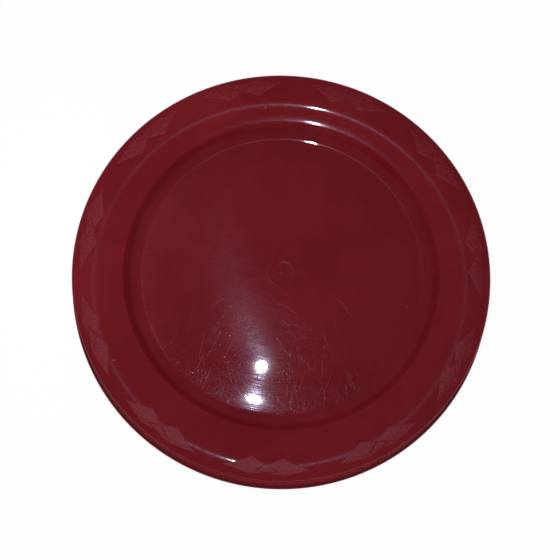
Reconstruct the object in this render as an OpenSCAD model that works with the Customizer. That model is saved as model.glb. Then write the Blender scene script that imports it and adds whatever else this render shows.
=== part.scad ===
// Flying disc: one glossy moulding, thrown flat, that stands on the lip of its skirt.
// The section is a chain of tangent arcs, from the domed flight plate over the crown to the lip.
// A slope is in degrees and is positive where the top surface rises outward.

/* [Overall] */
// Diameter over the lip bead, mm
disc_d = 230; // [190:1:280]
// Height from the face it stands on to the crest of the crown, mm
disc_h = 22.5; // [18:0.1:30]
// Wall of the moulding, mm
wall = 1.4; // [1:0.1:1.6]

/* [Flight plate] */
// Downward slope that the dome reaches where it ends, degrees
dome_slope = 5.2; // [4:0.1:6]
// Radius of the faint hollow round the dome, mm
apron_r = 175; // [100:5:300]
// Downward slope where that faint hollow meets the foot of the step, degrees
apron_slope = 0.8; // [0.2:0.1:2.8]

/* [Step] */
// Radius of the foot of the step wall, mm
foot_r = 9; // [5:0.1:10]
// Slope of the step wall, degrees
step_slope = 55; // [45:1:65]
// Run of the straight part of the step wall, mm
step_run = 2.2; // [0.5:0.1:4]
// Radius of the step's upper edge, mm
brow_r = 1.8; // [1.7:0.1:4]

/* [Crown] */
// Slope of the ledge just outside the step's upper edge, degrees
ledge_slope = 16.9; // [14:0.1:20]
// Radius of the faint hollow between the ledge and the crown, mm
ledge_r = 57.5; // [35:0.5:90]
// Slope at the inner end of the crown, degrees
crown_slope = 23; // [21:0.5:25]
// Radius of the crown, mm
crown_r = 33.5; // [28:0.5:38]
// Downward slope where the crown passes into the outer edge, degrees
crown_fall = 10; // [6:0.5:12]

/* [Skirt] */
// Radius of the outer edge, mm
edge_r = 1.8; // [1.7:0.1:4]
// Angle by which the skirt flares, degrees
draft = 3; // [1:0.5:6]
// Radius of the bead on the outside of the lip, mm
lip_r = 1.6; // [1.2:0.1:2.2]
// Radius of the fillet between the skirt and the bead, mm
lip_fillet_r = 0.8; // [0.4:0.1:2]
// Radius of the inner edge of the lip, mm
lip_inner_r = 0.5; // [0.3:0.1:0.7]

/* [Grip diamonds] */
// Number of diamond pairs round the crown
pair_n = 11; // [7:1:11]
// Angle between the two diamonds of a pair, degrees
pair_angle = 9.25; // [8:0.05:10]
// Width of a diamond from side tip to side tip, mm
diamond_w = 29.3; // [26:0.1:32]
// Distance of the inner tips from the outermost edge, mm
tip_in = 14.8; // [12:0.1:16]
// Distance of the side tips from the outermost edge, mm
tip_side = 7.5; // [6.8:0.1:9]
// Distance of the outer tips from the outermost edge, mm
tip_out = 5.3; // [4.2:0.1:6]
// Relief of the textured areas above the crown, mm
grip_t = 0.2; // [0.1:0.05:0.4]
// Width of the smooth line where two diamonds cross, mm
line_w = 0.5; // [0.3:0.05:0.8]

/* [Gate mark] */
// Diameter of the recess round the gate, mm
recess_d = 13.4; // [9:0.1:18]
// Depth of the recess round the gate, mm
recess_t = 0.2; // [0.1:0.05:0.4]
// Diameter of the gate nub, mm
nub_d = 2; // [1:0.1:4]
// Height of the gate nub above the floor of the recess, mm
nub_h = 0.2; // [0.1:0.05:0.4]

/* [Hidden] */
$fn = 180;

plate_red = [0.38, 0.085, 0.11];
step_red = [0.34, 0.075, 0.10];
rim_red = [0.42, 0.11, 0.14];
grip_red = [0.47, 0.17, 0.21];
disc_r = disc_d / 2;
// Largest distance between an arc of the section and its chords, mm
chord_tol = 0.01;
// Distance under which two points of the section are one, mm
meet_tol = 0.001;
// Length by which a cutter runs past the face that it cuts, mm
past = 1;

// Unit vector that stands square on the top surface at a slope
function square_on(slope) = [-sin(slope), cos(slope)];
// Centre of an arc that bulges up, from a point on it and the slope there
function under(p, r, slope) = p - r * square_on(slope);
// Centre of an arc that is hollow on top, from a point on it and the slope there
function over(p, r, slope) = p + r * square_on(slope);

// Skirt, from the lip up: the outer face runs through the centre of the bead
skirt_slope = draft - 90;
lip_c = [disc_r - lip_r, lip_r];
edge_end_z = disc_h - crown_r * (1 - cos(crown_fall)) - edge_r * (cos(crown_fall) - sin(draft));
edge_end = [lip_c.x - (edge_end_z - lip_c.y) * tan(draft), edge_end_z];
edge_c = under(edge_end, edge_r, skirt_slope);

// Fillet in the corner between the skirt's outer face and the bead
fillet_rise = sqrt(pow(lip_r, 2) + 2 * lip_r * lip_fillet_r);
fillet_c = lip_c + fillet_rise * [-sin(draft), cos(draft)] + lip_fillet_r * square_on(skirt_slope);
bead_slope = atan2(lip_c.x - fillet_c.x, fillet_c.y - lip_c.y);

// Inner edge of the lip, rounded off the inner face of the skirt
edge_end_in = edge_end - wall * square_on(skirt_slope);
skirt_in_x = edge_end_in.x + (edge_end_in.y - lip_inner_r) * tan(draft);
lip_in_c = [skirt_in_x + lip_inner_r / cos(draft), lip_inner_r];

// Crown: one arc on both sides of the crest, then the ledge
edge_start = edge_c + edge_r * square_on(-crown_fall);
crown_c = under(edge_start, crown_r, -crown_fall);
crown_start = crown_c + crown_r * square_on(crown_slope);
ledge_c = over(crown_start, ledge_r, crown_slope);
ledge_start = ledge_c - ledge_r * square_on(ledge_slope);

// Step, from its upper edge down the straight wall to its foot
brow_c = under(ledge_start, brow_r, ledge_slope);
brow_start = brow_c + brow_r * square_on(step_slope);
foot_end = brow_start - step_run * [1, tan(step_slope)];
foot_c = over(foot_end, foot_r, step_slope);
foot_start = foot_c - foot_r * square_on(-apron_slope);

// Plate: a dome whose centre lies on the axis, with a faint hollow round it and a recess for the gate on top
apron_c = over(foot_start, apron_r, -apron_slope);
apron_start = apron_c - apron_r * square_on(-dome_slope);
dome_r = apron_start.x / sin(dome_slope);
dome_c = [0, apron_start.y - dome_r * cos(dome_slope)];
recess_slope = asin(recess_d / 2 / dome_r);
recess_z = dome_c.y + dome_r * cos(recess_slope) - recess_t;

// Arcs of the top surface: centre, radius, first and last slope, 1 for a bulge or -1 for a hollow
dome_arc = [dome_c, dome_r, -recess_slope, -dome_slope, 1];
apron_arc = [apron_c, apron_r, -dome_slope, -apron_slope, -1];
foot_arc = [foot_c, foot_r, -apron_slope, step_slope, -1];
brow_arc = [brow_c, brow_r, step_slope, ledge_slope, 1];
ledge_arc = [ledge_c, ledge_r, ledge_slope, crown_slope, -1];
crown_arc = [crown_c, crown_r, crown_slope, -crown_fall, 1];
edge_arc = [edge_c, edge_r, -crown_fall, skirt_slope, 1];
fillet_arc = [fillet_c, lip_fillet_r, skirt_slope, bead_slope, -1];
bead_arc = [lip_c, lip_r, bead_slope, -180, 1];
lip_in_arc = [lip_in_c, lip_inner_r, -180, draft - 270, 1];

// Points along one arc, a depth below the surface
function arc_points(arc, depth) =
    let (span = arc[3] - arc[2])
    let (n = ceil(abs(span) / (2 * acos(1 - chord_tol / arc[1]))))
    [for (i = [0 : n]) arc[0] + (arc[4] * arc[1] - depth) * square_on(arc[2] + span * i / n)];

// Points along arcs that follow on from each other, with a meeting point only once
function path(arcs, depth) =
    let (points = [for (arc = arcs) each arc_points(arc, depth)])
    [for (i = [0 : len(points) - 1]) if (i == 0 || norm(points[i] - points[i - 1]) > meet_tol) points[i]];

function reversed(list) = [for (i = [len(list) - 1 : -1 : 0]) list[i]];

// One diamond, on the +X axis and seen from above: a kite with its two lengths of side
kite_in = [disc_r - tip_in, 0];
kite_out = [disc_r - tip_out, 0];
kite_side = [sqrt(pow(disc_r - tip_side, 2) - pow(diamond_w / 2, 2)), diamond_w / 2];
kite_long = norm(kite_side - kite_in);
kite_short = norm(kite_side - kite_out);
kite_mid = (kite_in * kite_short + kite_out * kite_long) / (kite_long + kite_short);
kite_inradius = (kite_mid.x - kite_in.x) * kite_side.y / kite_long;

// Ring whose section lies between two depths below arcs of the top surface
module layer(arcs, top, bottom) {
    rotate_extrude()
        polygon(concat(path(arcs, bottom), reversed(path(arcs, top))));
}

// Diamond turned by an angle, with its sides moved out by grow
module kite(angle, grow) {
    corners = [kite_in, [kite_side.x, -kite_side.y], kite_out, kite_side];
    k = 1 + grow / kite_inradius;
    rotate(angle)
        polygon([for (p = corners) kite_mid + k * (p - kite_mid)]);
}

// Two crossed diamonds: each side and the small diamond between them, apart by the smooth line
module diamond_pair() {
    for (side = [-1, 1])
        difference() {
            kite(side * pair_angle / 2, 0);
            kite(-side * pair_angle / 2, line_w / 2);
        }
    intersection() {
        kite(pair_angle / 2, -line_w / 2);
        kite(-pair_angle / 2, -line_w / 2);
    }
}

module flight_plate() {
    top = path([dome_arc, apron_arc], 0);
    bottom = path([dome_arc, apron_arc], wall);
    recess = [[top[0].x, recess_z], [0, recess_z]];
    color(plate_red)
        rotate_extrude()
            polygon(concat([[0, bottom[0].y]], bottom, reversed(top), recess));
}

module gate_mark() {
    color(step_red)
        translate([0, 0, recess_z])
            cylinder(d = nub_d, h = nub_h);
}

module step_wall() {
    color(step_red)
        layer([foot_arc, brow_arc], 0, wall);
}

module rim_crown() {
    color(rim_red)
        layer([ledge_arc, crown_arc], 0, wall);
}

module rim_skirt() {
    outside = path([edge_arc, fillet_arc, bead_arc, lip_in_arc], 0);
    color(rim_red)
        rotate_extrude()
            polygon(reversed(concat(outside, reversed(path([edge_arc], wall)))));
}

module grip_diamonds() {
    color(grip_red)
        intersection() {
            layer([crown_arc, edge_arc], -grip_t, 0);
            for (i = [0 : pair_n - 1])
                rotate(i * 360 / pair_n)
                    linear_extrude(height = disc_h + past)
                        diamond_pair();
        }
}

flight_plate();
gate_mark();
step_wall();
rim_crown();
rim_skirt();
grip_diamonds();
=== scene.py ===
import math

import bpy
from mathutils import Matrix, Vector
from mathutils.geometry import delaunay_2d_cdt


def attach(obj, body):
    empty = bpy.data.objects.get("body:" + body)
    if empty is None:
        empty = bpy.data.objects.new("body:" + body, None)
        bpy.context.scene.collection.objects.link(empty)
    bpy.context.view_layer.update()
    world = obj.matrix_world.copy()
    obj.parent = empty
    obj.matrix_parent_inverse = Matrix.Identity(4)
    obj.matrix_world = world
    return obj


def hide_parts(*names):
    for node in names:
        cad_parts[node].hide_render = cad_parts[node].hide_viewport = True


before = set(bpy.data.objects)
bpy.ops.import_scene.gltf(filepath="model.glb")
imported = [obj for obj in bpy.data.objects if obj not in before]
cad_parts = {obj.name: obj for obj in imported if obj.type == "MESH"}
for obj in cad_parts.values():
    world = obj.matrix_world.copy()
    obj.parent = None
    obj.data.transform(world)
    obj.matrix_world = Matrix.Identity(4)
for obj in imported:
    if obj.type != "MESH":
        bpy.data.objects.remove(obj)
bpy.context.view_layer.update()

# Sizes of the disc, in mm and degrees
MM = 0.001
DISC_R, DISC_H, WALL = 115.0, 22.5, 1.4
DOME_SLOPE, APRON_R, APRON_SLOPE = 5.2, 175.0, 0.8
FOOT_R, STEP_SLOPE, STEP_RUN, BROW_R = 9.0, 55.0, 2.2, 1.8
LEDGE_SLOPE, LEDGE_R, CROWN_SLOPE, CROWN_R, CROWN_FALL = 16.9, 57.5, 23.0, 33.5, 10.0
EDGE_R, DRAFT, LIP_R, LIP_INNER_R, LIP_FILLET_R = 1.8, 3.0, 1.6, 0.5, 0.8
SKIRT_SLOPE = DRAFT - 90
RECESS_D, RECESS_T, NUB_D, NUB_H = 13.4, 0.2, 2.0, 0.2
PAIR_N, PAIR_ANGLE, DIAMOND_W = 11, 9.25, 29.3
TIP_IN, TIP_SIDE, TIP_OUT, GRIP_T, LINE_W = 14.8, 7.5, 5.3, 0.08, 0.25

# Radii of the points on the floor of the gate's recess
RECESS_FLOOR = (0.0, 1.5, 3.0, 4.5, 5.8)
# Edge of the recess, from inside: start and end of each part from its radius, first and last height
RECESS_EDGE = ((-0.6, -0.2, -RECESS_T, 0.0), (-0.2, 0.3, 0.0, 0.05), (0.3, 0.45, 0.05, 0.0))
RECESS_STEPS = 8
# Profile of the nub, in shares of its radius and height
NUB_SHAPE = ((0.0, -0.12), (0.98, -0.12), (1.0, 0.02), (0.93, 0.55), (0.72, 0.88), (0.45, 0.98), (0.0, 0.9))
# Width over which the relief of a diamond rises, and how far its underside is sunk into the crown
SOFT, SINK = 0.3, 0.25

# Fineness of the meshes, in mm and degrees
STEP_MM, STEP_DEG, LINE_STEP = 1.0, 3.0, 1.5
SHELL_SEGMENTS, NUB_SEGMENTS, MID_STEPS = 360, 40, 4
GRID_OUT, GRID_SIDE, GRID_ROWS, GRID_HALF, GRID_CLEAR = 0.5, 0.65, 22, 24, 0.25
# Distances that count as nothing: between points, to the end of an arc, to the axis, inside a region
MEET, ARC_END, ON_AXIS, INSIDE = 1e-4, 1e-9, 1e-6, 1e-5


def square_on(slope):
    """Unit vector that stands square on the top surface at a slope."""
    a = math.radians(slope)
    return Vector((-math.sin(a), math.cos(a)))


def under(p, r, slope):
    """Centre of an arc that bulges up, from a point on it and the slope there."""
    return p - r * square_on(slope)


def over(p, r, slope):
    """Centre of an arc that is hollow on top, from a point on it and the slope there."""
    return p + r * square_on(slope)


# Section, from the lip inward to the dome
cos_d, sin_d, tan_d = (f(math.radians(DRAFT)) for f in (math.cos, math.sin, math.tan))
cos_f = math.cos(math.radians(CROWN_FALL))
lip_c = Vector((DISC_R - LIP_R, LIP_R))
edge_end_z = DISC_H - CROWN_R * (1 - cos_f) - EDGE_R * (cos_f - sin_d)
edge_end = Vector((lip_c.x - (edge_end_z - lip_c.y) * tan_d, edge_end_z))
edge_c = under(edge_end, EDGE_R, SKIRT_SLOPE)
edge_start = edge_c + EDGE_R * square_on(-CROWN_FALL)
crown_c = under(edge_start, CROWN_R, -CROWN_FALL)
crown_start = crown_c + CROWN_R * square_on(CROWN_SLOPE)
ledge_c = over(crown_start, LEDGE_R, CROWN_SLOPE)
ledge_start = ledge_c - LEDGE_R * square_on(LEDGE_SLOPE)
brow_c = under(ledge_start, BROW_R, LEDGE_SLOPE)
brow_start = brow_c + BROW_R * square_on(STEP_SLOPE)
foot_end = brow_start - STEP_RUN * Vector((1, math.tan(math.radians(STEP_SLOPE))))
foot_c = over(foot_end, FOOT_R, STEP_SLOPE)
foot_start = foot_c - FOOT_R * square_on(-APRON_SLOPE)
apron_c = over(foot_start, APRON_R, -APRON_SLOPE)
apron_start = apron_c - APRON_R * square_on(-DOME_SLOPE)
dome_r = apron_start.x / math.sin(math.radians(DOME_SLOPE))
dome_c = Vector((0, apron_start.y - dome_r * math.cos(math.radians(DOME_SLOPE))))
recess_slope = math.degrees(math.asin((RECESS_D / 2 + RECESS_EDGE[-1][1]) / dome_r))

# Fillet between the skirt's outer face and the bead of the lip
fillet_rise = math.sqrt(LIP_R ** 2 + 2 * LIP_R * LIP_FILLET_R)
up_skirt = Vector((-sin_d, cos_d))
out_skirt = Vector((cos_d, sin_d))
fillet_c = lip_c + fillet_rise * up_skirt + LIP_FILLET_R * out_skirt
to_fillet = (fillet_c - lip_c).normalized()
bead_slope = math.degrees(math.atan2(-to_fillet.x, to_fillet.y))

# Inner edge of the lip
edge_end_in = edge_end - WALL * square_on(SKIRT_SLOPE)
skirt_in_x = edge_end_in.x + (edge_end_in.y - LIP_INNER_R) * tan_d
lip_in_c = Vector((skirt_in_x + LIP_INNER_R / cos_d, LIP_INNER_R))

# Arcs: centre, radius, first and last slope, 1 for a bulge or -1 for a hollow
DOME = (dome_c, dome_r, -recess_slope, -DOME_SLOPE, 1)
APRON = (apron_c, APRON_R, -DOME_SLOPE, -APRON_SLOPE, -1)
FOOT = (foot_c, FOOT_R, -APRON_SLOPE, STEP_SLOPE, -1)
BROW = (brow_c, BROW_R, STEP_SLOPE, LEDGE_SLOPE, 1)
LEDGE = (ledge_c, LEDGE_R, LEDGE_SLOPE, CROWN_SLOPE, -1)
CROWN = (crown_c, CROWN_R, CROWN_SLOPE, -CROWN_FALL, 1)
EDGE = (edge_c, EDGE_R, -CROWN_FALL, SKIRT_SLOPE, 1)
FILLET = (fillet_c, LIP_FILLET_R, SKIRT_SLOPE, bead_slope, -1)
BEAD = (lip_c, LIP_R, bead_slope, -180, 1)
LIP_IN = (lip_in_c, LIP_INNER_R, -180, DRAFT - 270, 1)
TOP = (DOME, APRON, FOOT, BROW, LEDGE, CROWN, EDGE)


def arc_points(arc, depth=0.0):
    """Points along an arc of the section, a depth below the top surface."""
    c, r, a, b, up = arc
    reach = up * r - depth
    length = abs(math.radians(b - a) * reach)
    n = max(3, math.ceil(length / STEP_MM), math.ceil(abs(b - a) / STEP_DEG))
    return [c + reach * square_on(a + (b - a) * i / n) for i in range(n + 1)]


def line_points(p, q):
    """Points along a straight line of the section."""
    n = max(1, math.ceil((q - p).length / LINE_STEP))
    return [p.lerp(q, i / n) for i in range(n + 1)]


def chain(*runs):
    """Runs of points joined into one, with each meeting point once."""
    out = []
    for points in runs:
        for p in points:
            if not out or (p - out[-1]).length > MEET:
                out.append(p)
    return out


def smooth(t):
    """Share from 0 to 1 that starts and ends gently."""
    t = min(1.0, max(0.0, t))
    return t * t * (3 - 2 * t)


def top_z(r):
    """Height of the top surface at a radius, as if the dome had no recess."""
    for c, rad, a, b, up in TOP:
        end = c + up * rad * square_on(b)
        if r <= end.x + ARC_END:
            return c.y + up * math.sqrt(max(0.0, rad ** 2 - (r - c.x) ** 2))
    return edge_end.y


def make_mesh(name, verts, faces):
    """Smooth object in the scene from corners in metres and faces."""
    mesh = bpy.data.meshes.new(name)
    mesh.from_pydata(verts, [], faces)
    mesh.validate()
    mesh.shade_smooth()
    obj = bpy.data.objects.new(name, mesh)
    bpy.context.scene.collection.objects.link(obj)
    return obj


def revolve(name, profile, segments):
    """Mesh of a profile of (radius, height) points turned about Z; a radius of 0 becomes a pole."""
    verts, rings, faces = [], [], []
    for r, z in profile:
        if r < ON_AXIS:
            verts.append((0.0, 0.0, z * MM))
            rings.append([len(verts) - 1] * segments)
        else:
            ring = []
            for k in range(segments):
                a = 2 * math.pi * k / segments
                verts.append((r * math.cos(a) * MM, r * math.sin(a) * MM, z * MM))
                ring.append(len(verts) - 1)
            rings.append(ring)
    for first, second in zip(rings, rings[1:]):
        for k in range(segments):
            j = (k + 1) % segments
            quad = [first[k], second[k], second[j], first[j]]
            quad = [v for i, v in enumerate(quad) if v != quad[i - 1]]
            if len(quad) > 2:
                faces.append(quad)
    return make_mesh(name, verts, faces)


# Shell, which is the whole moulding but for the nub and the diamonds
recess_z = top_z(RECESS_D / 2) - RECESS_T


def shell_profile():
    """Points of the section from the middle of the top over the lip to the middle of the underside."""
    recess = [Vector((r, recess_z)) for r in RECESS_FLOOR]
    for inner, outer, low, high in RECESS_EDGE:
        for i in range(1, RECESS_STEPS + 1):
            r = RECESS_D / 2 + inner + (outer - inner) * i / RECESS_STEPS
            lift = low + (high - low) * smooth(i / RECESS_STEPS)
            recess.append(Vector((r, top_z(r) + lift)))
    top = chain(recess, *(arc_points(a) for a in TOP))
    fillet, lip_in = arc_points(FILLET), arc_points(LIP_IN)
    outside = chain(top, line_points(edge_end, fillet[0]), fillet, arc_points(BEAD))
    land = line_points(outside[-1], lip_in[0])
    inside = [p for a in reversed(TOP) for p in reversed(arc_points(a, WALL))]
    inside = chain(line_points(lip_in[-1], edge_end_in), inside)
    pole = Vector((0.0, dome_c.y + dome_r - WALL))
    middle = [inside[-1].lerp(pole, i / MID_STEPS) for i in range(1, MID_STEPS + 1)]
    return chain(outside, land, lip_in, inside, middle)


shell = revolve("disc_shell", shell_profile(), SHELL_SEGMENTS)

# The shell's materials: the worn plate runs a little way into the foot of the step
PLATE, RIM, SKIRT, UNDER = 0, 1, 2, 3
STEEP = 0.6
WEAR_PAST = 1.6
for face in shell.data.polygons:
    radius = face.center.xy.length / MM
    facing_out = face.normal.xy.dot(face.center.xy) > 0
    steep_rim = radius > ledge_start.x and face.normal.z < STEEP
    if steep_rim and facing_out:
        face.material_index = SKIRT
    elif steep_rim or face.normal.z < 0:
        face.material_index = UNDER
    else:
        face.material_index = RIM if radius > foot_start.x + WEAR_PAST else PLATE

# Gate nub
nub = revolve("gate_nub", [(NUB_D / 2 * a, recess_z + NUB_H * b) for a, b in NUB_SHAPE], NUB_SEGMENTS)

# Grip diamonds
kite_in, kite_out = Vector((DISC_R - TIP_IN, 0)), Vector((DISC_R - TIP_OUT, 0))
kite_side = Vector((math.sqrt((DISC_R - TIP_SIDE) ** 2 - DIAMOND_W ** 2 / 4), DIAMOND_W / 2))
kite_long, kite_short = (kite_side - kite_in).length, (kite_side - kite_out).length
kite_mid = (kite_in * kite_short + kite_out * kite_long) / (kite_long + kite_short)
kite_inradius = (kite_mid.x - kite_in.x) * kite_side.y / kite_long
HALF_LINE = LINE_W / 2


def half_turn(side):
    """Rotation that takes a diamond from the +X axis to its side of the pair, -1 or 1."""
    return Matrix.Rotation(math.radians(side * PAIR_ANGLE / 2), 2)


def kite(side, grow):
    """Corners of a diamond of the pair on +X, with its sides moved out by grow."""
    k = 1 + grow / kite_inradius
    turn = half_turn(side)
    corners = (kite_in, Vector((kite_side.x, -kite_side.y)), kite_out, kite_side)
    return [turn @ (kite_mid + k * (p - kite_mid)) for p in corners]


def depth_in(p, poly):
    """Distance of a point inside the edges of a convex polygon given anticlockwise; negative outside."""
    depths = []
    for i, end in enumerate(poly):
        start = poly[i - 1]
        d = end - start
        w = p - start
        depths.append((d.x * w.y - d.y * w.x) / d.length)
    return min(depths)


def pair_regions():
    """Depth functions of the three textured areas of a pair."""
    a, b = kite(-1, 0), kite(1, 0)
    return (
        lambda p: min(depth_in(p, a), -depth_in(p, b) - HALF_LINE),
        lambda p: min(depth_in(p, b), -depth_in(p, a) - HALF_LINE),
        lambda p: min(depth_in(p, a), depth_in(p, b)) - HALF_LINE,
    )


def pair_layout():
    """Flat triangulation of a pair with lines where its relief rises."""
    points, edges = [], []
    levels = (
        0.0, -SOFT / 2, -SOFT,
        HALF_LINE, HALF_LINE + SOFT / 2, HALF_LINE + SOFT,
        -HALF_LINE, -HALF_LINE - SOFT / 2, -HALF_LINE - SOFT,
    )
    for side in (-1, 1):
        for grow in levels:
            start = len(points)
            points += kite(side, grow)
            edges += [(start + i, start + (i + 1) % 4) for i in range(4)]
    outlines = [kite(side, 0) for side in (-1, 1)]
    clear = SOFT + GRID_CLEAR
    for side in (-1, 1):
        turn = half_turn(side)
        for u in range(GRID_ROWS):
            for v in range(-GRID_HALF, GRID_HALF + 1):
                x = DISC_R - TIP_IN + GRID_OUT * u + GRID_OUT / 2 * (v % 2)
                p = turn @ Vector((x, GRID_SIDE * v))
                depths = [depth_in(p, outline) for outline in outlines]
                other, own = depths if side > 0 else reversed(depths)
                near = min(abs(d + c) for d in depths for c in (0.0, HALF_LINE, -HALF_LINE))
                if own > clear and near > clear and (side < 0 or other < 0):
                    points.append(p)
    out = delaunay_2d_cdt(points, edges, [], 0, MEET)
    return out[0], out[2]


def diamond_mesh():
    """All the textured areas, each a closed low relief that follows the crown."""
    flat, triangles = pair_layout()
    verts, faces = [], []
    for region in pair_regions():
        chosen = [t for t in triangles if region(sum((flat[i] for i in t), Vector((0, 0))) / 3) > INSIDE]
        used = sorted({i for t in chosen for i in t})
        rim_edges = {}
        for t in chosen:
            for i in range(3):
                edge = (t[i], t[(i + 1) % 3])
                if (edge[1], edge[0]) in rim_edges:
                    del rim_edges[(edge[1], edge[0])]
                else:
                    rim_edges[edge] = True
        shape = []
        for i in used:
            p = flat[i]
            z = top_z(p.length)
            rise = GRIP_T * smooth(max(0.0, region(p)) / SOFT)
            shape.append((p, z + rise, z - SINK))
        for k in range(PAIR_N):
            turn = Matrix.Rotation(2 * math.pi * k / PAIR_N, 2)
            at = {}
            for i, (p, high, low) in zip(used, shape):
                q = turn @ p
                at[i] = len(verts)
                verts.append((q.x * MM, q.y * MM, high * MM))
                verts.append((q.x * MM, q.y * MM, low * MM))
            for a, b, c in chosen:
                faces.append((at[a], at[b], at[c]))
                faces.append((at[c] + 1, at[b] + 1, at[a] + 1))
            for a, b in rim_edges:
                faces.append((at[b], at[a], at[a] + 1, at[b] + 1))
    return make_mesh("grip_texture", verts, faces)


grip = diamond_mesh()

# Colours of the plastic
RED_DEEP = (0.122, 0.0040, 0.0074, 1)
RED_PALE = (0.144, 0.0060, 0.0104, 1)
RED_WORN = (0.185, 0.019, 0.026, 1)
GRIP_DEEP = (0.122, 0.0078, 0.0122, 1)
GRIP_PALE = (0.163, 0.0126, 0.0184, 1)
HAZE_TINT = (0.75, 0.78, 1.0, 1)

# Finish: roughness, how much is mirrored, and how far the haze is stretched
PLASTIC_IOR = 1.5
GLOSS_ROUGH, HAZE_ROUGH, RING_ROUGH, SWIRL_ROUGH, DEEP_ROUGH = 0.03, 0.26, 0.12, 0.24, 0.17
RUB_ROUGH, RUB_SPREAD = 0.24, 0.04
RIM_ROUGH, RIM_SPREAD = 0.23, 0.05
SATIN_ROUGH, GRIP_ROUGH = (0.4, 0.55), (0.34, 0.48)
HAZE_LEVEL, RIM_LEVEL, SKIRT_LEVEL, UNDER_LEVEL, GRIP_LEVEL = 0.04, 0.018, 0.001, 0.25, 0.08
HAZE_STRETCH, RIM_STRETCH = 0.87, 0.9

# Noise: scales per metre, the range in which a noise turns from low to high, and depths of relief in metres
GLOSS_CLOUDS, SATIN_CLOUDS, CLOUD_RANGE = 26.0, 40.0, (0.35, 0.68)
GLOSS_GRAIN, SATIN_GRAIN, RIM_GRAIN, GRIP_GRAIN = 900.0, 1500.0, 500.0, 1400.0
RIM_RANGE, ROUGH_RANGE, SPECK_RANGE = (0.35, 0.65), (0.3, 0.7), (0.4, 0.6)
GLOSS_BUMP, SATIN_BUMP, GRIP_BUMP = 0.000004, 0.00002, 0.00016
DRIFT_SCALE, DRIFT = 20.0, 0.022

# Marks of wear: the share of its row that a mark fills, its largest lean, the share of places without one.
# Rings and rays also have marks per radian and metres per mark, scratches a length and pitch in metres.
RINGS = {"fill": 1.0, "lean": 0.006, "few": 0.15, "seed": 50.0}
RING_TURNS, RING_PITCH = 1.3, 0.0003
RAYS = {"fill": 0.4, "lean": 0.1, "few": 0.95, "seed": 60.0}
RAY_TURNS, RAY_LENGTH = 100.0, 0.0012
SWIRL = {"count": 9, "length": 0.016, "pitch": 0.002, "fill": 0.065, "lean": 0.12, "few": 0.5, "seed": 3.0}
DEEP = {"count": 4, "length": 0.02, "pitch": 0.012, "fill": 0.03, "lean": 0.15, "few": 0.85, "seed": 31.0}
SCUFFS = {"count": 4, "length": 0.03, "pitch": 0.003, "fill": 0.06, "lean": 0.2, "few": 0.5, "seed": 70.0}
RUB = {"count": 1, "length": 0.008, "pitch": 0.0003, "fill": 1.0, "lean": 0.0, "few": 0.4, "seed": 80.0}
SCUFF_SHARE = 0.2
# The rubbed part of the plate: direction of its haze in degrees, and the Y between which it sets in
RUB_TURN, RUB_EDGE = 104.0, (-0.052, -0.034)
# Shift of a row of marks against the next, fading of a mark's ends, shift of a layer against the next
ROW_SHIFT, END_FADE, LAYER_SHIFT = 9.0, (0.2, 0.5), (0.31, 0.17)


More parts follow.
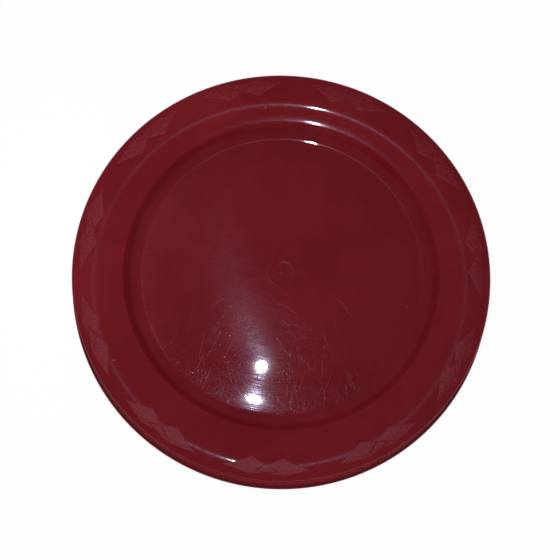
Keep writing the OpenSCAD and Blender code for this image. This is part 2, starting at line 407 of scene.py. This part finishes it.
class Nodes:
    """Short calls for building one material's node tree; where is the place on the object."""

    def __init__(self, name):
        self.material = bpy.data.materials.new(name)
        self.material.use_nodes = True
        self.tree = self.material.node_tree
        self.tree.nodes.clear()
        self.where = self.add("ShaderNodeTexCoord").outputs["Object"]

    def add(self, kind, inputs=None, **settings):
        """Node with these settings; an input is a value or another node's socket."""
        node = self.tree.nodes.new(kind)
        for key, value in settings.items():
            setattr(node, key, value)
        for key, value in (inputs or {}).items():
            if isinstance(value, bpy.types.NodeSocket):
                self.tree.links.new(value, node.inputs[key])
            else:
                node.inputs[key].default_value = value
        return node

    def math(self, operation, *values):
        """Number from a calculation."""
        return self.add("ShaderNodeMath", dict(enumerate(values)), operation=operation).outputs[0]

    def noise(self, scale, detail, rough=0.6):
        """Soft noise over the object, from 0 to 1."""
        inputs = {"Vector": self.where, "Scale": scale, "Detail": detail, "Roughness": rough}
        return self.add("ShaderNodeTexNoise", inputs).outputs["Fac"]

    def ramp(self, value, low, high, out_low=0.0, out_high=1.0):
        """Number that goes smoothly from out_low to out_high while the value goes from low to high."""
        return self.add(
            "ShaderNodeMapRange",
            {"Value": value, "From Min": low, "From Max": high, "To Min": out_low, "To Max": out_high},
            interpolation_type="SMOOTHSTEP",
        ).outputs[0]

    def between(self, factor, a, b):
        """Number that goes from a to b with the factor."""
        return self.add("ShaderNodeMix", {0: factor, 2: a, 3: b}).outputs[0]

    def mix(self, factor, a, b):
        """Colour that goes from a to b with the factor."""
        return self.add("ShaderNodeMix", {0: factor, 6: a, 7: b}, data_type="RGBA").outputs[2]

    def place(self, vector, location, turn, size):
        """Coordinates in a frame that is moved, turned about Z by degrees and scaled."""
        return self.add(
            "ShaderNodeMapping",
            {"Vector": vector, "Location": location, "Rotation": (0, 0, math.radians(turn)), "Scale": size},
            vector_type="TEXTURE",
        ).outputs[0]

    def vector(self, operation, a, b=None, factor=None):
        """Vector from a calculation."""
        inputs = {0: a}
        if b is not None:
            inputs[1] = b
        if factor is not None:
            inputs["Scale"] = factor
        return self.add("ShaderNodeVectorMath", inputs, operation=operation).outputs[0]

    def xyz(self, x=0.0, y=0.0, z=0.0):
        """Vector from its parts."""
        return self.add("ShaderNodeCombineXYZ", {0: x, 1: y, 2: z}).outputs[0]

    def parts(self, vector):
        """Three parts of a vector."""
        return self.add("ShaderNodeSeparateXYZ", {0: vector}).outputs

    def luck(self, x, y, z):
        """Three random numbers from 0 to 1 that belong to three whole numbers."""
        vector = self.xyz(x, y, z)
        return self.parts(self.add("ShaderNodeTexWhiteNoise", {"Vector": vector}).outputs["Color"])

    def bump(self, height, distance):
        """Normal of a surface with this relief."""
        inputs = {"Height": height, "Distance": distance, "Strength": 1.0}
        return self.add("ShaderNodeBump", inputs).outputs[0]

    def tilted(self, tilt):
        """Normal of the mesh, tilted by a vector."""
        flat = self.add("ShaderNodeNewGeometry").outputs["Normal"]
        return self.vector("NORMALIZE", self.vector("ADD", flat, tilt))

    def plastic(self, inputs):
        """The material, with one plastic surface."""
        return self.done(self.add("ShaderNodeBsdfPrincipled", {"IOR": PLASTIC_IOR, **inputs}))

    def done(self, shader):
        """The material, with this shader as its surface."""
        self.add("ShaderNodeOutputMaterial", {0: shader.outputs[0]})
        return self.material


def grooves(m, u, v, across, fill, lean, few, seed):
    """Marks that run along u, at most one to each whole number of v and of u.

    A mark fills a share of its row and leans by up to lean. Gives the marks' strength from 0 to 1
    and the vector by which they tilt the surface.
    """
    row = m.math("FLOOR", v)
    along = m.math("ADD", u, m.math("MULTIPLY", m.luck(row, 0.0, seed)[0], ROW_SHIFT))
    own = m.luck(row, m.math("FLOOR", along), seed)
    centre = m.math("MULTIPLY_ADD", own[0], 1.0 - fill, 0.5 * fill)
    off = m.math("ABSOLUTE", m.math("SUBTRACT", m.math("FRACT", v), centre))
    inside = m.math("LESS_THAN", off, 0.5 * fill)
    from_middle = m.math("ABSOLUTE", m.math("SUBTRACT", m.math("FRACT", along), 0.5))
    ends = m.ramp(from_middle, *END_FADE, 1.0, 0.0)
    strength = m.math("MULTIPLY", m.math("MULTIPLY", inside, ends), m.math("GREATER_THAN", own[1], few))
    slope = m.math("MULTIPLY", m.math("MULTIPLY_ADD", own[2], 2.0 * lean, -lean), strength)
    return strength, m.vector("SCALE", across, factor=slope)


def scratches(m, where, count, length, pitch, seed, first=0.0, **kind):
    """Layers of straight marks, each in its own direction from the first on."""
    layers = []
    for i in range(count):
        turn = first + 180.0 * i / count
        a = math.radians(turn)
        shift = (LAYER_SHIFT[0] * i, LAYER_SHIFT[1] * i, 0)
        u, v, _ = m.parts(m.place(where, shift, turn, (length, pitch, 1.0)))
        across = (-math.sin(a), math.cos(a), 0)
        layers.append(grooves(m, u, v, across, seed=seed + i, **kind))
    return layers


def joined(m, layers):
    """Layers of marks as one strength and one tilt."""
    strength, tilt = layers[0]
    for more, lean in layers[1:]:
        strength = m.math("MAXIMUM", strength, more)
        tilt = m.vector("ADD", tilt, lean)
    return strength, tilt


def plastic_red(m, scale):
    """Base colour of the moulding: slow clouds in the red."""
    return m.mix(m.ramp(m.noise(scale, detail=4.0), *CLOUD_RANGE), RED_DEEP, RED_PALE)


def round_axis(m):
    """Directions outward from the axis and round it."""
    x, y, _ = m.parts(m.where)
    outward = m.vector("NORMALIZE", m.xyz(x, y))
    return outward, m.vector("CROSS_PRODUCT", (0, 0, 1), outward)


def glossy(m, inputs):
    """Red plastic under a sharp gloss; the inputs give the haze under it."""
    return m.plastic({
        "Base Color": plastic_red(m, GLOSS_CLOUDS),
        "Specular Tint": HAZE_TINT,
        "Coat Weight": 1.0,
        "Coat Roughness": GLOSS_ROUGH,
        "Coat Normal": m.bump(m.noise(GLOSS_GRAIN, detail=3.0), GLOSS_BUMP),
        **inputs,
    })


def plate_material():
    """Gloss worn by rings round the axis, by scratches, and by one rubbed patch."""
    m = Nodes("burgundy_gloss_plate")
    drift = m.add("ShaderNodeTexNoise", {"Vector": m.where, "Scale": DRIFT_SCALE, "Detail": 0.0})
    bent = m.vector("ADD", m.where, m.vector("SCALE", drift.outputs["Color"], factor=DRIFT))
    x, y, _ = m.parts(m.where)
    radius = m.math("SQRT", m.math("ADD", m.math("MULTIPLY", x, x), m.math("MULTIPLY", y, y)))
    angle = m.math("ARCTAN2", y, x)
    outward, sideways = round_axis(m)

    # Marks, of which a scratch hides the rings under it
    ring_u, ring_v = m.math("MULTIPLY", angle, RING_TURNS), m.math("DIVIDE", radius, RING_PITCH)
    ring, ring_tilt = grooves(m, ring_u, ring_v, outward, **RINGS)
    ray_u, ray_v = m.math("DIVIDE", radius, RAY_LENGTH), m.math("MULTIPLY", angle, RAY_TURNS)
    rays = grooves(m, ray_u, ray_v, sideways, **RAYS)
    swirl, swirl_tilt = joined(m, scratches(m, bent, **SWIRL))
    deep, deep_tilt = joined(m, [rays, *scratches(m, bent, **DEEP)])
    marked = m.math("MAXIMUM", swirl, deep)
    tilt = m.vector("SCALE", ring_tilt, factor=m.math("SUBTRACT", 1.0, marked))
    tilt = m.vector("ADD", m.vector("ADD", tilt, swirl_tilt), deep_tilt)

    # Roughness, with the rubbed part under the scratches
    rubbed = m.ramp(y, *RUB_EDGE)
    rub, _ = scratches(m, bent, first=RUB_TURN - 90, **RUB)[0]
    rough = m.between(ring, HAZE_ROUGH, RING_ROUGH)
    rough = m.between(rubbed, rough, m.between(rub, RUB_ROUGH + RUB_SPREAD, RUB_ROUGH - RUB_SPREAD))
    rough = m.between(swirl, rough, SWIRL_ROUGH)
    rough = m.between(deep, rough, DEEP_ROUGH)

    # Direction in which the haze is stretched
    a = math.radians(RUB_TURN)
    spread = m.vector("SCALE", outward, factor=m.math("SUBTRACT", rubbed, 1.0))
    spread = m.vector("ADD", spread, m.vector("SCALE", (math.cos(a), math.sin(a), 0), factor=rubbed))
    return glossy(m, {
        "Roughness": rough,
        "Normal": m.tilted(tilt),
        "Specular IOR Level": HAZE_LEVEL,
        "Anisotropic": m.between(marked, HAZE_STRETCH, 0.0),
        "Tangent": m.vector("NORMALIZE", spread),
    })


def rim_material():
    """Cleaner gloss, whose haze runs along the rim in thin lines."""
    m = Nodes("burgundy_gloss_rim")
    _, sideways = round_axis(m)
    deep, deep_tilt = joined(m, scratches(m, m.where, **DEEP))
    grain = m.noise(RIM_GRAIN, detail=2.0)
    rough = m.ramp(grain, *RIM_RANGE, RIM_ROUGH - RIM_SPREAD, RIM_ROUGH + RIM_SPREAD)
    return glossy(m, {
        "Roughness": m.between(deep, rough, DEEP_ROUGH),
        "Normal": m.tilted(deep_tilt),
        "Specular IOR Level": RIM_LEVEL,
        "Anisotropic": RIM_STRETCH,
        "Tangent": sideways,
    })


def satin_material(name, level):
    """Plastic with a fine matt grain and scuffs; level is how much it mirrors."""
    m = Nodes(name)
    grain = m.noise(SATIN_GRAIN, detail=3.0)
    scuffs, _ = joined(m, scratches(m, m.where, **SCUFFS))
    return m.plastic({
        "Base Color": m.mix(m.math("MULTIPLY", scuffs, SCUFF_SHARE), plastic_red(m, SATIN_CLOUDS), RED_WORN),
        "Roughness": m.ramp(grain, *ROUGH_RANGE, *SATIN_ROUGH),
        "Normal": m.bump(grain, SATIN_BUMP),
        "Specular IOR Level": level,
    })


def grip_material():
    """Matt, coarser grain of the diamonds and the nub."""
    m = Nodes("burgundy_matte_texture")
    grain = m.noise(GRIP_GRAIN, detail=1.0)
    return m.plastic({
        "Base Color": m.mix(m.ramp(grain, *SPECK_RANGE), GRIP_DEEP, GRIP_PALE),
        "Roughness": m.ramp(grain, *ROUGH_RANGE, *GRIP_ROUGH),
        "Normal": m.bump(grain, GRIP_BUMP),
        "Specular IOR Level": GRIP_LEVEL,
    })


plate, rim, matte = plate_material(), rim_material(), grip_material()
skirt = satin_material("burgundy_satin_skirt", SKIRT_LEVEL)
under_side = satin_material("burgundy_satin_underside", UNDER_LEVEL)
for obj, materials in ((shell, (plate, rim, skirt, under_side)), (nub, (matte,)), (grip, (matte,))):
    for material in materials:
        obj.data.materials.append(material)
    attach(obj, "root")
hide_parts("flight_plate", "step_wall", "rim_crown", "rim_skirt")
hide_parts("gate_mark")
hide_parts("grip_diamonds")

# Floor, seen as nearly white by the camera and in reflections
FLOOR_HALF = 4.0
FLOOR_CLOUDS, FLOOR_GREY, FLOOR_PALE = 3.0, (0.93, 0.93, 0.93, 1), (0.95, 0.95, 0.95, 1)
FLOOR_GLOW = 0.95


def floor_material():
    """White floor that keeps a faint shadow where it is seen."""
    m = Nodes("white_sweep")
    tone = m.mix(m.noise(FLOOR_CLOUDS, detail=2.0, rough=0.5), FLOOR_GREY, FLOOR_PALE)
    lit = m.add("ShaderNodeBsdfDiffuse", {"Color": tone})
    glow = m.add("ShaderNodeEmission", {"Strength": 1.0})
    ray = m.add("ShaderNodeLightPath").outputs
    seen = m.math("MAXIMUM", ray["Is Camera Ray"], ray["Is Glossy Ray"])
    seen = m.math("MAXIMUM", seen, ray["Is Transmission Ray"])
    share = m.math("MULTIPLY", seen, FLOOR_GLOW)
    return m.done(m.add("ShaderNodeMixShader", {0: share, 1: lit.outputs[0], 2: glow.outputs[0]}))


corners = [(x * FLOOR_HALF, y * FLOOR_HALF, 0) for x, y in ((-1, -1), (1, -1), (1, 1), (-1, 1))]
floor = make_mesh("floor", corners, [(0, 1, 2, 3)])
floor.data.materials.append(floor_material())

# World: white to the camera, and a dim light on everything
AMBIENT = 0.1
world = bpy.data.worlds.new("studio")
bpy.context.scene.world = world
world.use_nodes = True
tree = world.node_tree
tree.nodes.clear()
dim = tree.nodes.new("ShaderNodeBackground")
dim.inputs[0].default_value = (AMBIENT, AMBIENT, AMBIENT, 1)
white = tree.nodes.new("ShaderNodeBackground")
white.inputs[0].default_value = (1, 1, 1, 1)
world_ray = tree.nodes.new("ShaderNodeLightPath")
mixed = tree.nodes.new("ShaderNodeMixShader")
tree.links.new(world_ray.outputs["Is Camera Ray"], mixed.inputs[0])
tree.links.new(dim.outputs[0], mixed.inputs[1])
tree.links.new(white.outputs[0], mixed.inputs[2])
tree.links.new(mixed.outputs[0], tree.nodes.new("ShaderNodeOutputWorld").inputs[0])

# Lamps, which all face the gate mark in the middle of the disc
GATE = Vector((0, 0, 0.0136))
WHITE, COOL = (1, 1, 1), (0.97, 0.97, 1.12)
LOW_REACH, LOW_Z, LOW_SIZE, LOW_LEVEL = 1.2, 0.06, 0.1, 0.22


def lamp(name, location, size, level, colour=WHITE, mirrored=False):
    """Disc lamp that lights a face square to it at the gate mark to this share of white."""
    light = bpy.data.lights.new(name, "AREA")
    light.shape = "DISK"
    light.size = size
    light.color = colour
    location = Vector(location)
    light.energy = level * math.pi ** 2 * (location - GATE).length_squared
    obj = bpy.data.objects.new(name, light)
    obj.location = location
    obj.rotation_euler = (GATE - location).to_track_quat("-Z", "Y").to_euler()
    obj.visible_glossy = mirrored
    bpy.context.scene.collection.objects.link(obj)


lamp("key", (-0.0298, -0.0439, 0.604), size=0.010, level=0.54, colour=COOL, mirrored=True)
lamp("fill", (-0.12, 0.05, 0.22), size=0.2, level=0.38)
lamp("front", (0.0, -1.2, 0.25), size=0.6, level=0.25)
lamp("back", (0.0, 0.6, 0.35), size=0.4, level=0.12)
for turn in (90, -45, -135):
    low_a = math.radians(turn)
    low_place = (LOW_REACH * math.cos(low_a), LOW_REACH * math.sin(low_a), LOW_Z)
    lamp(f"low_{turn % 360}", low_place, size=LOW_SIZE, level=LOW_LEVEL)

# Camera, turned about the gate mark
LENS, SENSOR, SHIFT_X, SHIFT_Y, CLIP_START = 71.99, 36.0, -0.00296, -0.01268, 0.01
TILT, LEAN, YAW, DISTANCE = math.radians(13.92), math.radians(5.54), math.radians(3.74), 0.6084
camera = bpy.data.cameras.new("camera")
camera.sensor_width = SENSOR
camera.lens = LENS
camera.shift_x, camera.shift_y = SHIFT_X, SHIFT_Y
camera.clip_start = CLIP_START
cam = bpy.data.objects.new("camera", camera)
lean_axis = Vector((math.cos(LEAN), -math.sin(LEAN), 0))
cam.matrix_world = (
    Matrix.Translation(GATE)
    @ Matrix.Rotation(-YAW, 4, "Z")
    @ Matrix.Rotation(TILT, 4, lean_axis)
    @ Matrix.Translation((0, 0, DISTANCE))
)
bpy.context.scene.collection.objects.link(cam)
bpy.context.scene.camera = cam
bpy.context.scene.view_settings.view_transform = "Standard"
